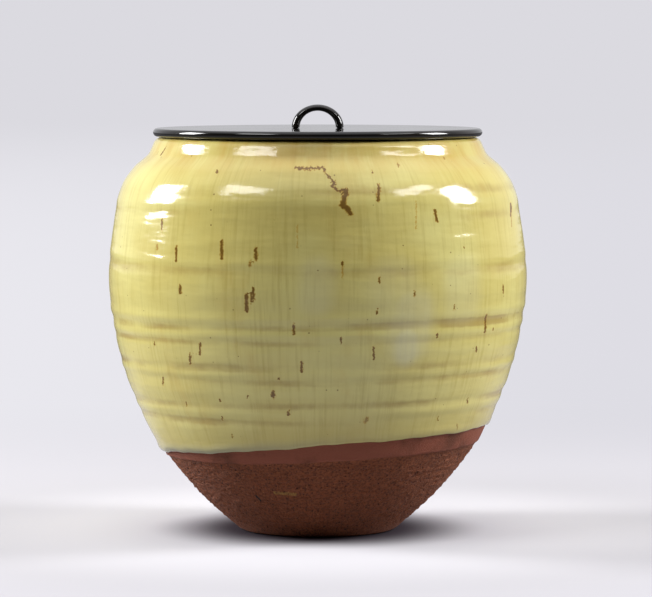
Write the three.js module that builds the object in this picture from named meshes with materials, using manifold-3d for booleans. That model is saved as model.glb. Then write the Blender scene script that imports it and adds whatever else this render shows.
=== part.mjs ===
import * as THREE from 'three';
import { mergeVertices } from 'three/addons/utils/BufferGeometryUtils.js';
import Module from 'manifold-3d';

// Stoneware water jar with a lacquered board lid. Millimetres, +Z up.
// The origin is the middle of the foot, on the surface that the jar stands on.
// Bearings run from the front (-Y) towards the right (+X).

// Outside radius of the clay wall at each turning point of the thrown shape
const FOOT_EDGE_RADIUS = 34.3;
const LOWER_CONE_RADIUS = 52.4;
const CONE_RADIUS = 69.6;
const LOWER_BELLY_RADIUS = 80.3;
const BELLY_RADIUS = 87.2;
const WIDEST_RADIUS = 91.4;
const UPPER_BELLY_RADIUS = 88.9;
const SHOULDER_RADIUS = 86;
const UPPER_SHOULDER_RADIUS = 80.3;
const FLARE_RADIUS = 74.3;
const NECK_RADIUS = 72.3;
const RIM_RADIUS = 71.5;

// Rise from each turning point to the next
const LOWER_CONE_RISE = 16.5;
const CONE_RISE = 21.5;
const LOWER_BELLY_RISE = 22;
const BELLY_RISE = 21.5;
const WIDEST_RISE = 30;
const UPPER_BELLY_RISE = 26;
const SHOULDER_RISE = 14;
const UPPER_SHOULDER_RISE = 8.6;
const FLARE_RISE = 5.3;
const NECK_RISE = 3.6;
const RIM_RISE = 1.9;

// Wall, floor and foot of the clay body
const WALL_THICKNESS = 6;
const FLOOR_HEIGHT = 10;
const FLOOR_ROUNDING_RUN = 12;
const FOOT_ROUNDING = 5;
const FOOT_RING_INNER_RADIUS = 27;
const FOOT_RECESS_DEPTH = 3;
const FOOT_RECESS_SLOPE = 2.5;

// Ledge where the turning tool stopped, above the rough cone
const TRIM_LEDGE_HEIGHT = 37.8;
const TRIM_LEDGE_TILT = 3;
const TRIM_LEDGE_BEARING = 110;
const TRIM_LEDGE_STEP = 0.6;
const TRIM_LEDGE_DROP = 0.5;

// Two glaze coats, the outer one ending in a wandering line with a thick roll
const GLAZE_GAP = 0.3;
const GLAZE_THICKNESS = 0.7;
const GLAZE_LINE_HEIGHT = 40.8;
const GLAZE_LINE_TILT = 6.6;
const GLAZE_LINE_BEARING = 62;
const GLAZE_LINE_MARGIN = 1.6;
const GLAZE_ROLL = 0.45;
const GLAZE_BAND_LIP = 0.15;

// Throwing rings left as shallow grooves in the outer face
const RING_HEIGHTS = [61.2, 72.3, 78.1, 89.6, 96.4, 120.5];
const RING_DEPTH = 0.35;
const RING_MIN_ROW = 1.2;

// Lid: a turned board with a rounded edge and a locating step underneath
const LID_RADIUS = 72.7;
const LID_THICKNESS = 3.6;
const LID_SEAT_GAP = 0.3;
const STEP_DEPTH = 2.8;
const STEP_WIDTH = 5.5;
const STEP_CLEARANCE = 0.8;
const STEP_CHAMFER = 0.5;

// Loop handle: one bent bar with a tenon at each end, let into blind mortises
const LOOP_WIDTH = 23;
const LOOP_HEIGHT = 10.4;
const LOOP_INNER_WIDTH = 15.9;
const LOOP_INNER_HEIGHT = 7.6;
const LOOP_DEPTH = 6;
const LOOP_SHOULDER_GAP = 0.3;
const TENON_SHOULDER = 0.5;
const TENON_DEPTH = 2.1;
const MORTISE_CLEARANCE = 0.35;

// Fineness of the facets
const COLUMNS = 48;
const RIM_STEPS = 6;
const LID_EDGE_STEPS = 8;
const FLOOR_ROUNDING_STEPS = 4;
const LOOP_STEPS = 24;
const LOOP_SIDES = 12;

const WALL_RADII = [
  FOOT_EDGE_RADIUS, LOWER_CONE_RADIUS, CONE_RADIUS, LOWER_BELLY_RADIUS,
  BELLY_RADIUS, WIDEST_RADIUS, UPPER_BELLY_RADIUS, SHOULDER_RADIUS,
  UPPER_SHOULDER_RADIUS, FLARE_RADIUS, NECK_RADIUS, RIM_RADIUS,
];
const WALL_RISES = [
  LOWER_CONE_RISE, CONE_RISE, LOWER_BELLY_RISE, BELLY_RISE, WIDEST_RISE,
  UPPER_BELLY_RISE, SHOULDER_RISE, UPPER_SHOULDER_RISE, FLARE_RISE,
  NECK_RISE, RIM_RISE,
];
const WALL_HEIGHTS = WALL_RISES.reduce((heights, rise) => [...heights, heights.at(-1) + rise], [0]);
const LAST = WALL_RADII.length - 1;
const RIM_LEVEL = WALL_HEIGHTS[LAST];
const GLAZE_OUT = GLAZE_GAP + GLAZE_THICKNESS;

const wasm = await Module();
wasm.setup();

/** Slope dr/dz of the wall curve at a turning point. */
function stationSlope(k) {
  const below = Math.max(k - 1, 0);
  const above = Math.min(k + 1, LAST);
  return (WALL_RADII[above] - WALL_RADII[below]) / (WALL_HEIGHTS[above] - WALL_HEIGHTS[below]);
}

/** Outside radius of the clay wall at height z: a smooth cubic through the turning points. */
function wallRadius(z) {
  let k = 0;
  while (k < LAST - 1 && z > WALL_HEIGHTS[k + 1]) k += 1;
  const rise = WALL_HEIGHTS[k + 1] - WALL_HEIGHTS[k];
  const t = (z - WALL_HEIGHTS[k]) / rise;
  const fromBelow = (1 + 2 * t) * (1 - t) ** 2;
  const slopeBelow = t * (1 - t) ** 2;
  const fromAbove = t * t * (3 - 2 * t);
  const slopeAbove = t * t * (t - 1);
  return fromBelow * WALL_RADII[k] + fromAbove * WALL_RADII[k + 1]
    + rise * (slopeBelow * stationSlope(k) + slopeAbove * stationSlope(k + 1));
}

/** Unit normal [radial, up] of the wall at height z, pointing out of the clay. */
function wallNormal(z) {
  const reach = 0.01;
  const slope = (wallRadius(z) - wallRadius(z - reach)) / reach;
  const length = Math.hypot(1, slope);
  return [1 / length, -slope / length];
}

/** Point [radius, z] at a distance out from the wall, measured along its normal. */
function offWall(z, distance) {
  const [out, up] = wallNormal(z);
  return [wallRadius(z) + distance * out, z + distance * up];
}

/** A height that rises and falls once in a turn, highest at the given bearing. */
function tilted(height, tilt, highest, bearing) {
  return height + tilt * Math.cos(bearing - THREE.MathUtils.degToRad(highest));
}

/** Height of the lower edge of the outer glaze at a bearing. */
function glazeLine(bearing) {
  return tilted(GLAZE_LINE_HEIGHT, GLAZE_LINE_TILT, GLAZE_LINE_BEARING, bearing);
}

/** Height of the trimming ledge at a bearing, which stays below the glaze. */
function trimLedge(bearing) {
  const ledge = tilted(TRIM_LEDGE_HEIGHT, TRIM_LEDGE_TILT, TRIM_LEDGE_BEARING, bearing);
  return Math.min(ledge, glazeLine(bearing) - GLAZE_LINE_MARGIN);
}

/** Heights that cut each span of the wall, from one turning point up, into equal steps. */
function wallLevels(firstStation, steps) {
  const levels = [];
  for (const [i, count] of steps.entries()) {
    const k = firstStation + i;
    for (let s = 1; s <= count; s += 1) {
      levels.push(WALL_HEIGHTS[k] + WALL_RISES[k] * s / count);
    }
  }
  return levels;
}

// The first whole level above the wandering line, and the steps of the spans above it
const FIRST_STATION = 3;
const CLAY_LEVELS = wallLevels(FIRST_STATION, [2, 2, 2, 2, 2, 2, 1, 1]);
const FIRST_LEVEL = WALL_HEIGHTS[FIRST_STATION];

/** Centre of the half-round rim and the angle at which the wall runs into it. */
function rimArc() {
  const [out, up] = wallNormal(RIM_LEVEL);
  const centre = offWall(RIM_LEVEL, -WALL_THICKNESS / 2);
  return { centre, start: Math.atan2(up, out) };
}

/** Points of the rim from the outside to the inside, at a distance out from the clay. */
function rimPoints(distance) {
  const { centre, start } = rimArc();
  const radius = WALL_THICKNESS / 2 + distance;
  const points = [];
  for (let s = 1; s <= RIM_STEPS; s += 1) {
    const angle = start + Math.PI * s / RIM_STEPS;
    points.push([centre[0] + radius * Math.cos(angle), centre[1] + radius * Math.sin(angle)]);
  }
  return points;
}

/** Moves a profile to its left or right by a distance, keeping every facet parallel. */
function parallel(points, distance) {
  const normals = points.slice(1).map((point, i) => {
    const run = [point[0] - points[i][0], point[1] - points[i][1]];
    const length = Math.hypot(...run);
    return [run[1] / length, -run[0] / length];
  });
  return points.map((point, i) => {
    const before = normals[Math.max(i - 1, 0)];
    const after = normals[Math.min(i, normals.length - 1)];
    const sum = [before[0] + after[0], before[1] + after[1]];
    const scale = 2 * distance / (sum[0] ** 2 + sum[1] ** 2);
    return [point[0] + sum[0] * scale, point[1] + sum[1] * scale];
  });
}

/** Clay under the outer glaze at a bearing, from the glaze line over the rim. */
function glazedClay(bearing) {
  const line = glazeLine(bearing);
  const low = [0, 0.15, 0.5, 1].map((part) => offWall(line + (FIRST_LEVEL - line) * part, 0));
  const high = CLAY_LEVELS.map((level) => offWall(level, 0));
  return [...low, ...high, ...rimPoints(0)];
}

/** Inside of the clay from the rim down to the middle of the floor, without the rim's end. */
function clayInside() {
  const levels = [LOWER_CONE_RISE, ...wallLevels(1, [1, 1, 1, 1, 1, 1, 1, 1, 1])].reverse();
  const wall = levels.map((level) => offWall(level, -WALL_THICKNESS));
  const corner = wall.at(-1);
  const [out, up] = wallNormal(LOWER_CONE_RISE);
  const tangentRadius = corner[0] + (corner[1] - FLOOR_HEIGHT) * up / out;
  const rounding = new THREE.QuadraticBezierCurve(
    new THREE.Vector2(...corner),
    new THREE.Vector2(tangentRadius, FLOOR_HEIGHT),
    new THREE.Vector2(tangentRadius - FLOOR_ROUNDING_RUN, FLOOR_HEIGHT),
  );
  const floor = rounding.getPoints(FLOOR_ROUNDING_STEPS).slice(1).map((point) => [point.x, point.y]);
  return [...wall, ...floor, [0, FLOOR_HEIGHT]];
}

/** Bare clay at a bearing, from the middle of the foot up to the glaze line. */
function bareClay(bearing) {
  const line = glazeLine(bearing);
  const ledge = trimLedge(bearing);
  const quarter = Math.PI / 4;
  const arcTop = FOOT_ROUNDING * (1 - Math.cos(quarter));
  const arcCentre = wallRadius(arcTop) - FOOT_ROUNDING * Math.sin(quarter);
  const arc = [0, 0.5, 1].map((part) => [
    arcCentre + FOOT_ROUNDING * Math.sin(quarter * part),
    FOOT_ROUNDING * (1 - Math.cos(quarter * part)),
  ]);
  const coneTop = ledge - TRIM_LEDGE_DROP;
  const cone = [0.25, 0.5, 0.75, 1].map((part) => offWall(arcTop + (coneTop - arcTop) * part, 0));
  return [
    [0, FOOT_RECESS_DEPTH],
    [FOOT_RING_INNER_RADIUS - FOOT_RECESS_SLOPE, FOOT_RECESS_DEPTH],
    [FOOT_RING_INNER_RADIUS, 0],
    ...arc,
    ...cone,
    offWall(ledge, TRIM_LEDGE_STEP),
    offWall(line - GLAZE_LINE_MARGIN / 2, GLAZE_BAND_LIP),
  ];
}

/** Outer face of the outer glaze at a bearing, from its rolled edge over the rim. */
function glazeFace(bearing) {
  const line = glazeLine(bearing);
  const edge = [[0, 0], [0.07, GLAZE_ROLL], [0.25, GLAZE_ROLL / 2], [0.6, 0], [1, 0]];
  const low = edge.map(([part, roll]) => (
    offWall(line + (FIRST_LEVEL - line) * part, GLAZE_OUT + roll)
  ));
  const plain = wallLevels(FIRST_STATION, [3, 4, 3, 2, 3, 3, 2, 1])
    .filter((level) => RING_HEIGHTS.every((ring) => Math.abs(level - ring) > RING_MIN_ROW));
  const rings = RING_HEIGHTS.filter((ring) => ring > FIRST_LEVEL + RING_MIN_ROW && ring < RIM_LEVEL);
  const high = [...plain, ...rings].sort((a, b) => a - b)
    .map((level) => offWall(level, GLAZE_OUT - (rings.includes(level) ? RING_DEPTH : 0)));
  return [...low, ...high, ...rimPoints(GLAZE_OUT)];
}

/**
 * Closed surface swept round the Z axis. profileAt(bearing) gives [radius, z] points that
 * run outwards along the base, up the outside and back down the inside. With onAxis the
 * first and last points lie on the axis, otherwise the profile closes on itself.
 */
function revolve(profileAt, onAxis) {
  const profiles = [];
  for (let j = 0; j < COLUMNS; j += 1) {
    profiles.push(profileAt(2 * Math.PI * j / COLUMNS));
  }
  const rows = profiles[0].length;
  const positions = [];
  const indices = [];
  if (onAxis) {
    positions.push(0, 0, profiles[0][0][1], 0, 0, profiles[0][rows - 1][1]);
  }
  const firstRow = onAxis ? 1 : 0;
  const endRow = onAxis ? rows - 1 : rows;
  for (let i = firstRow; i < endRow; i += 1) {
    for (const [j, profile] of profiles.entries()) {
      const bearing = 2 * Math.PI * j / COLUMNS;
      const [radius, z] = profile[i];
      positions.push(radius * Math.sin(bearing), -radius * Math.cos(bearing), z);
    }
  }
  const vertex = (i, j) => {
    if (onAxis && i === 0) return 0;
    if (onAxis && i === rows - 1) return 1;
    const row = onAxis ? i - 1 : i % rows;
    return (onAxis ? 2 : 0) + row * COLUMNS + j % COLUMNS;
  };
  const spans = onAxis ? rows - 1 : rows;
  for (let i = 0; i < spans; i += 1) {
    for (let j = 0; j < COLUMNS; j += 1) {
      const [a, b, c, d] = [vertex(i, j), vertex(i, j + 1), vertex(i + 1, j + 1), vertex(i + 1, j)];
      if (a !== b) indices.push(a, b, c);
      if (c !== d) indices.push(a, c, d);
    }
  }
  return closedGeometry(positions, indices);
}

/** Geometry from shared positions and triangle indices. */
function closedGeometry(positions, indices) {
  const geometry = new THREE.BufferGeometry();
  geometry.setAttribute('position', new THREE.Float32BufferAttribute(positions, 3));
  geometry.setIndex(indices);
  geometry.computeVertexNormals();
  return geometry;
}

/** Clay body: foot ring, cone, trimming ledge, wall, half-round rim and floor. */
function clayBodyGeometry() {
  const inside = clayInside();
  return revolve((bearing) => [...bareClay(bearing), ...glazedClay(bearing), ...inside], true);
}

/** Outer glaze: from the wandering line over the rim to the mouth. */
function outerGlazeGeometry() {
  return revolve((bearing) => {
    const clay = glazedClay(bearing);
    return [...glazeFace(bearing), ...parallel(clay, GLAZE_GAP).reverse()];
  }, false);
}

/** Inner glaze: from just below the outer coat's end, down the wall and over the floor. */
function innerGlazeGeometry() {
  const rimEnd = rimPoints(0).at(-1);
  const clay = [rimEnd, ...clayInside()];
  const top = rimEnd[1] - GLAZE_GAP - GLAZE_OUT;
  const face = (distance) => {
    const moved = parallel(clay, distance);
    moved[moved.length - 1][0] = 0;
    const below = moved.findIndex((point) => point[1] < top);
    const [high, low] = [moved[below - 1], moved[below]];
    const part = (high[1] - top) / (high[1] - low[1]);
    const start = [high[0] + (low[0] - high[0]) * part, top];
    return [start, ...moved.slice(below)];
  };
  return revolve(() => [...face(GLAZE_GAP).reverse(), ...face(GLAZE_OUT)], true);
}

const { centre: RIM_CENTRE } = rimArc();
const MOUTH_RADIUS = RIM_CENTRE[0] - WALL_THICKNESS / 2 - GLAZE_OUT;
const GLAZED_RIM_TOP = RIM_CENTRE[1] + WALL_THICKNESS / 2 + GLAZE_OUT;
const LID_UNDERSIDE = GLAZED_RIM_TOP + LID_SEAT_GAP;

/** Closed three.js geometry as a solid that can be cut. */
function toSolid(geometry) {
  const bare = geometry.clone();
  bare.deleteAttribute('normal');
  bare.deleteAttribute('uv');
  const merged = mergeVertices(bare);
  const vertProperties = new Float32Array(merged.attributes.position.array);
  const triVerts = new Uint32Array(merged.index.array);
  return new wasm.Manifold(new wasm.Mesh({ numProp: 3, vertProperties, triVerts }));
}

/** Cut solid back as a three.js geometry. */
function toGeometry(solid) {
  const mesh = solid.getMesh();
  return closedGeometry(Array.from(mesh.vertProperties), Array.from(mesh.triVerts));
}

/** Half thickness of the loop's bar at its feet, and how far its middle is from the centre. */
const FOOT_HALF = (LOOP_WIDTH - LOOP_INNER_WIDTH) / 4;
const FOOT_MIDDLE = (LOOP_WIDTH + LOOP_INNER_WIDTH) / 4;

/** Elliptical hole for one tenon, standing on the bottom of its blind mortise. */
function mortiseCutter(side) {
  const halfWidth = FOOT_HALF - TENON_SHOULDER + MORTISE_CLEARANCE;
  const halfDepth = LOOP_DEPTH / 2 - TENON_SHOULDER + MORTISE_CLEARANCE;
  const outline = [];
  for (let s = 0; s < LOOP_SIDES; s += 1) {
    const angle = 2 * Math.PI * s / LOOP_SIDES;
    outline.push(new THREE.Vector2(
      side * FOOT_MIDDLE + halfWidth * Math.cos(angle),
      halfDepth * Math.sin(angle),
    ));
  }
  const bottom = LID_THICKNESS - TENON_DEPTH - MORTISE_CLEARANCE;
  const cutter = new THREE.ExtrudeGeometry(new THREE.Shape(outline), {
    depth: LID_THICKNESS,
    bevelEnabled: false,
  });
  cutter.translate(0, 0, bottom);
  return toSolid(cutter);
}

/** Lid board, from its underside at z = 0, with the step ring and two mortises. */
function lidBoardGeometry() {
  const stepOuter = MOUTH_RADIUS - STEP_CLEARANCE;
  const stepInner = stepOuter - STEP_WIDTH;
  const edgeRadius = LID_THICKNESS / 2;
  const edge = [];
  for (let s = 0; s <= LID_EDGE_STEPS; s += 1) {
    const angle = -Math.PI / 2 + Math.PI * s / LID_EDGE_STEPS;
    edge.push([
      LID_RADIUS - edgeRadius + edgeRadius * Math.cos(angle),
      edgeRadius + edgeRadius * Math.sin(angle),
    ]);
  }
  const profile = [
    [0, 0],
    [stepInner, 0],
    [stepInner, STEP_CHAMFER - STEP_DEPTH],
    [stepInner + STEP_CHAMFER, -STEP_DEPTH],
    [stepOuter - STEP_CHAMFER, -STEP_DEPTH],
    [stepOuter, STEP_CHAMFER - STEP_DEPTH],
    [stepOuter, 0],
    ...edge,
    [0, LID_THICKNESS],
  ];
  let board = toSolid(revolve(() => profile, true));
  for (const side of [-1, 1]) {
    board = board.subtract(mortiseCutter(side));
  }
  return toGeometry(board);
}

/** Ring of points of the loop's oval bar in the plane of its outward and depth directions. */
function barRing(middle, outward, half, halfDepth) {
  const ring = [];
  for (let s = 0; s < LOOP_SIDES; s += 1) {
    const angle = 2 * Math.PI * s / LOOP_SIDES;
    ring.push([
      middle[0] + outward[0] * half * Math.cos(angle),
      -halfDepth * Math.sin(angle),
      middle[1] + outward[1] * half * Math.cos(angle),
    ]);
  }
  return ring;
}

/** Loop handle, from the lid's top at z = 0: tenon, shoulder, arch, shoulder, tenon. */
function lidLoopGeometry() {
  const arch = [];
  for (let s = 0; s <= LOOP_STEPS; s += 1) {
    const angle = Math.PI * (1 - s / LOOP_STEPS);
    const across = Math.cos(angle);
    const rise = Math.sin(angle);
    const outer = [LOOP_WIDTH / 2 * across, (LOOP_HEIGHT - LOOP_SHOULDER_GAP) * rise];
    const inner = [LOOP_INNER_WIDTH / 2 * across, (LOOP_INNER_HEIGHT - LOOP_SHOULDER_GAP) * rise];
    const thickness = Math.hypot(outer[0] - inner[0], outer[1] - inner[1]);
    const outward = [(outer[0] - inner[0]) / thickness, (outer[1] - inner[1]) / thickness];
    const middle = [(outer[0] + inner[0]) / 2, (outer[1] + inner[1]) / 2 + LOOP_SHOULDER_GAP];
    arch.push(barRing(middle, outward, thickness / 2, LOOP_DEPTH / 2));
  }
  const tenon = (side, z) => barRing(
    [side * FOOT_MIDDLE, z], [side, 0],
    FOOT_HALF - TENON_SHOULDER, LOOP_DEPTH / 2 - TENON_SHOULDER,
  );
  const rings = [
    tenon(-1, -TENON_DEPTH),
    tenon(-1, LOOP_SHOULDER_GAP),
    ...arch,
    tenon(1, LOOP_SHOULDER_GAP),
    tenon(1, -TENON_DEPTH),
  ];
  const positions = rings.flat(2);
  const start = positions.length / 3;
  positions.push(-FOOT_MIDDLE, 0, -TENON_DEPTH, FOOT_MIDDLE, 0, -TENON_DEPTH);
  const indices = [];
  const lastRing = (rings.length - 1) * LOOP_SIDES;
  for (let j = 0; j < LOOP_SIDES; j += 1) {
    const next = (j + 1) % LOOP_SIDES;
    for (let i = 0; i < rings.length - 1; i += 1) {
      const [here, there] = [i * LOOP_SIDES, (i + 1) * LOOP_SIDES];
      indices.push(here + j, here + next, there + next, here + j, there + next, there + j);
    }
    indices.push(start, next, j, start + 1, lastRing + j, lastRing + next);
  }
  return closedGeometry(positions, indices);
}

/** Named mesh with its own material. */
function piece(name, geometry, color, roughness, metalness) {
  const mesh = new THREE.Mesh(
    geometry,
    new THREE.MeshStandardMaterial({ color, roughness, metalness }),
  );
  mesh.name = name;
  return mesh;
}

const group = new THREE.Group();

const jar = new THREE.Group();
jar.add(piece('clay_body', clayBodyGeometry(), 0x6b3d2c, 0.85, 0));
jar.add(piece('outer_glaze', outerGlazeGeometry(), 0xb8ab68, 0.18, 0));
jar.add(piece('inner_glaze', innerGlazeGeometry(), 0xa89d62, 0.25, 0));
group.add(jar);

const lid = new THREE.Group();
lid.position.z = LID_UNDERSIDE;
lid.add(piece('lid_board', lidBoardGeometry(), 0x14110f, 0.12, 0));
const loop = piece('lid_loop', lidLoopGeometry(), 0x16120f, 0.15, 0);
loop.position.z = LID_THICKNESS;
lid.add(loop);
group.add(lid);

export default group;
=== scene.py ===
import logging
import math
from dataclasses import dataclass
from enum import Enum
from functools import cached_property

import bpy
import numpy as np
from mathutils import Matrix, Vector


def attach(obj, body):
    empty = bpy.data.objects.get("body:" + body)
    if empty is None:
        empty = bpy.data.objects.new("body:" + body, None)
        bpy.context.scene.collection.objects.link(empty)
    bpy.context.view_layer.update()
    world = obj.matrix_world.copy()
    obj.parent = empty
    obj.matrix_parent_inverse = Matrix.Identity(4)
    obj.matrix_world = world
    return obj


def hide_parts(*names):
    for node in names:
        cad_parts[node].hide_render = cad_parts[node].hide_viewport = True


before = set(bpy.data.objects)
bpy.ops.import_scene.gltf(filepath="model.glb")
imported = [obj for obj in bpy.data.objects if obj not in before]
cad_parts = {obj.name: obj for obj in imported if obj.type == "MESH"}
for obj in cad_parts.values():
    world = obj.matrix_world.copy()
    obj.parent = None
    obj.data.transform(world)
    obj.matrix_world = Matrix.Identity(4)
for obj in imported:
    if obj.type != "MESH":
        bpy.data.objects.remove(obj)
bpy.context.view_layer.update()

# The jar's looks: clay, two glazes and lacquer, on the floor and under the lights of the photograph.
MM = 0.001
# Radius in metres at which the wall is unrolled, and the offset in mm where no stroke reaches.
SHEET_RADIUS = 0.088
FAR_AWAY = 99.0
LOG = logging.getLogger("water_jar")
Socket = bpy.types.NodeSocket
Colour = tuple[float, float, float, float]
Place = tuple[float, float, float]


def srgb(red: int, green: int, blue: int) -> Colour:
    """Linear colour of an 8-bit display colour.

    Args:
        red, green, blue: display values from 0 to 255.

    Returns:
        The same colour in linear light, with full alpha.
    """
    parts = [value / 255 for value in (red, green, blue)]
    linear = [p / 12.92 if p <= 0.04045 else ((p + 0.055) / 1.055) ** 2.4 for p in parts]
    return (linear[0], linear[1], linear[2], 1.0)


@dataclass(frozen=True)
class Framing:
    """The photograph's camera, in millimetres, degrees and pixels."""

    distance: float = 1700.0
    height: float = 216.2
    pitch: float = 3.84
    lens: float = 212.2
    sensor: float = 36.0
    width: float = 652.0
    image_height: float = 597.0
    axis_x: float = 317.7
    far_clip: float = 50.0
    first_guess: float = 100.0
    rounds: int = 24

    def focal(self) -> float:
        """Focal length in pixels."""
        return self.lens / self.sensor * self.width

    def on_jar(self, form: "JarForm", x: float, y: float) -> tuple[float, float]:
        """Bearing (radians) and height (mm) of the point of the jar that a pixel shows.

        The pixel's ray is followed to the wall by repeating two steps: the height that the
        pixel's row has at the present depth, then the bearing that its column has there.

        Args:
            form: the jar's wall.
            x, y: the pixel.

        Returns:
            The bearing from the front and the height.
        """
        tilt = math.radians(self.pitch)
        slope = math.tan(math.atan((self.image_height / 2 - y) / self.focal()) - tilt)
        bearing = 0.0
        height = self.first_guess
        for _ in range(self.rounds):
            radius = float(form.radius(np.array([height]))[0])
            along = self.distance - radius * math.cos(bearing)
            height = min(max(self.height + along * slope, 1.0), form.rim_level())
            depth = along * math.cos(tilt) + (self.height - height) * math.sin(tilt)
            across = (x - self.axis_x) * depth / self.focal() / radius
            bearing = math.asin(max(-0.999, min(0.999, across)))
        return bearing, height

    def build(self) -> bpy.types.Object:
        """Makes the camera and sets it as the scene's.

        Returns:
            The camera.
        """
        data = bpy.data.cameras.new("camera")
        data.lens = self.lens
        data.sensor_width = self.sensor
        data.clip_end = self.far_clip
        camera = bpy.data.objects.new("camera", data)
        offset = (self.width / 2 - self.axis_x) * self.distance / self.focal()
        camera.location = (offset * MM, -self.distance * MM, self.height * MM)
        camera.rotation_euler = (math.radians(90 - self.pitch), 0, 0)
        bpy.context.scene.collection.objects.link(camera)
        bpy.context.scene.camera = camera
        return camera


@dataclass(frozen=True)
class Ring:
    """A throwing ring: a crest or groove round the wall, in millimetres and degrees."""

    height: float
    depth: float
    half_width: float
    tilt: float = 0.0
    highest: float = 0.0


@dataclass(frozen=True)
class JarForm:
    """The thrown wall: radii at its turning points and the rises between them, in mm."""

    radii: tuple[float, ...] = (
        34.3, 52.4, 69.6, 80.3, 87.2, 91.4, 88.9, 86.0, 80.3, 74.3, 72.3, 71.5,
    )
    rises: tuple[float, ...] = (16.5, 21.5, 22.0, 21.5, 30.0, 26.0, 14.0, 8.6, 5.3, 3.6, 1.9)
    wall: float = 6.0
    coat_gap: float = 0.3
    coat: float = 0.7
    floor_height: float = 10.0
    floor_rounding: float = 12.0
    foot_rounding: float = 5.0
    foot_ring_inner: float = 27.0
    foot_recess: float = 3.0
    foot_slope: float = 2.5
    ledge_height: float = 37.8
    ledge_tilt: float = 3.0
    ledge_bearing: float = 110.0
    ledge_step: float = 0.6
    line_height: float = 40.8
    line_tilt: float = 6.6
    line_bearing: float = 62.0
    line_margin: float = 1.6
    bend_rows: int = 15
    floor_rows: int = 10

    def heights(self) -> np.ndarray:
        """Heights of the turning points."""
        return np.concatenate([[0.0], np.cumsum(self.rises)])

    def rim_level(self) -> float:
        """Height at which the wall runs into its half-round rim."""
        return float(sum(self.rises))

    def radius(self, z: np.ndarray) -> np.ndarray:
        """Outside radius of the clay: the smooth cubic through the turning points.

        Args:
            z: heights in mm.

        Returns:
            Radii in mm, of the same shape.
        """
        levels = self.heights()
        radii = np.array(self.radii)
        count = len(levels)
        below = np.maximum(np.arange(count) - 1, 0)
        above = np.minimum(np.arange(count) + 1, count - 1)
        slopes = (radii[above] - radii[below]) / (levels[above] - levels[below])
        k = np.clip(np.searchsorted(levels, z, side="right") - 1, 0, count - 2)
        rise = levels[k + 1] - levels[k]
        t = (z - levels[k]) / rise
        value = (1 + 2 * t) * (1 - t) ** 2 * radii[k] + t * t * (3 - 2 * t) * radii[k + 1]
        return value + rise * (t * (1 - t) ** 2 * slopes[k] + t * t * (t - 1) * slopes[k + 1])

    def normal(self, z: np.ndarray) -> tuple[np.ndarray, np.ndarray]:
        """Unit normal of the wall, from its slope over a short reach.

        Args:
            z: heights in mm.

        Returns:
            The normal's outward and upward parts.
        """
        reach = 0.01
        slope = (self.radius(z) - self.radius(z - reach)) / reach
        length = np.sqrt(1 + slope * slope)
        return 1 / length, -slope / length

    def off(self, z: np.ndarray, distance: np.ndarray | float) -> tuple[np.ndarray, np.ndarray]:
        """Radius and height of points at a distance out from the wall along its normal."""
        out, up = self.normal(z)
        return self.radius(z) + distance * out, z + distance * up

    def glaze_line(self, bearing: np.ndarray) -> np.ndarray:
        """Height of the outer glaze's lower edge: one slow tilt and a small wander.

        Args:
            bearing: bearings in radians.

        Returns:
            Heights in mm, of the same shape.
        """
        wander = 0.30 * np.sin(5 * bearing + 1.1) + 0.22 * np.sin(11 * bearing + 0.4)
        wander = wander + 0.14 * np.sin(23 * bearing + 2.0) + 0.08 * np.sin(47 * bearing)
        main = self.line_tilt * np.cos(bearing - math.radians(self.line_bearing))
        return self.line_height + main + wander

    def ledge(self, bearing: np.ndarray) -> np.ndarray:
        """Height of the trimming ledge, which stays below the glaze.

        Args:
            bearing: bearings in radians.

        Returns:
            Heights in mm, of the same shape.
        """
        main = self.ledge_tilt * np.cos(bearing - math.radians(self.ledge_bearing))
        wander = 0.35 * np.sin(3 * bearing + 0.7) + 0.12 * np.sin(19 * bearing)
        highest = self.glaze_line(bearing) - self.line_margin
        return np.minimum(self.ledge_height + main + wander, highest)

    def rim(self, distance: float, steps: int) -> tuple[np.ndarray, np.ndarray]:
        """Half-round rim from the outside to the inside, at a distance out from the clay.

        Args:
            distance: how far the points lie from the clay, in mm.
            steps: how many steps the half circle has.

        Returns:
            Radii and heights, one for each step, in mm.
        """
        level = np.array([self.rim_level()])
        out, up = self.normal(level)
        centre_r, centre_z = self.off(level, -self.wall / 2)
        angle = math.atan2(up[0], out[0]) + np.linspace(0, math.pi, steps + 1)[1:]
        reach = self.wall / 2 + distance
        return centre_r[0] + reach * np.cos(angle), centre_z[0] + reach * np.sin(angle)

    def inside(self, distance: float, rows: int) -> tuple[np.ndarray, np.ndarray]:
        """Inside of the wall from the rim down to the middle of the floor.

        Args:
            distance: how far the surface stands off the clay into the hollow, in mm.
            rows: how many rows the wall has.

        Returns:
            Radii and heights in mm, ending just off the axis.
        """
        level = np.linspace(self.rim_level(), self.rises[0], rows)
        wall_r, wall_z = self.off(level, -self.wall - distance)
        floor = self.floor_height + distance
        out, up = self.normal(np.array([self.rises[0]]))
        turn = wall_r[-1] + (wall_z[-1] - floor) * up[0] / out[0]
        t = np.linspace(0, 1, self.bend_rows)[1:]
        end = turn - self.floor_rounding
        bend_r = (1 - t) ** 2 * wall_r[-1] + 2 * t * (1 - t) * turn + t * t * end
        bend_z = (1 - t) ** 2 * wall_z[-1] + (1 - (1 - t) ** 2) * floor
        flat = np.linspace(end, 0.0, self.floor_rows)[1:-1]
        level_floor = np.full_like(flat, floor)
        return np.concatenate([wall_r, bend_r, flat]), np.concatenate([wall_z, bend_z, level_floor])


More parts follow.
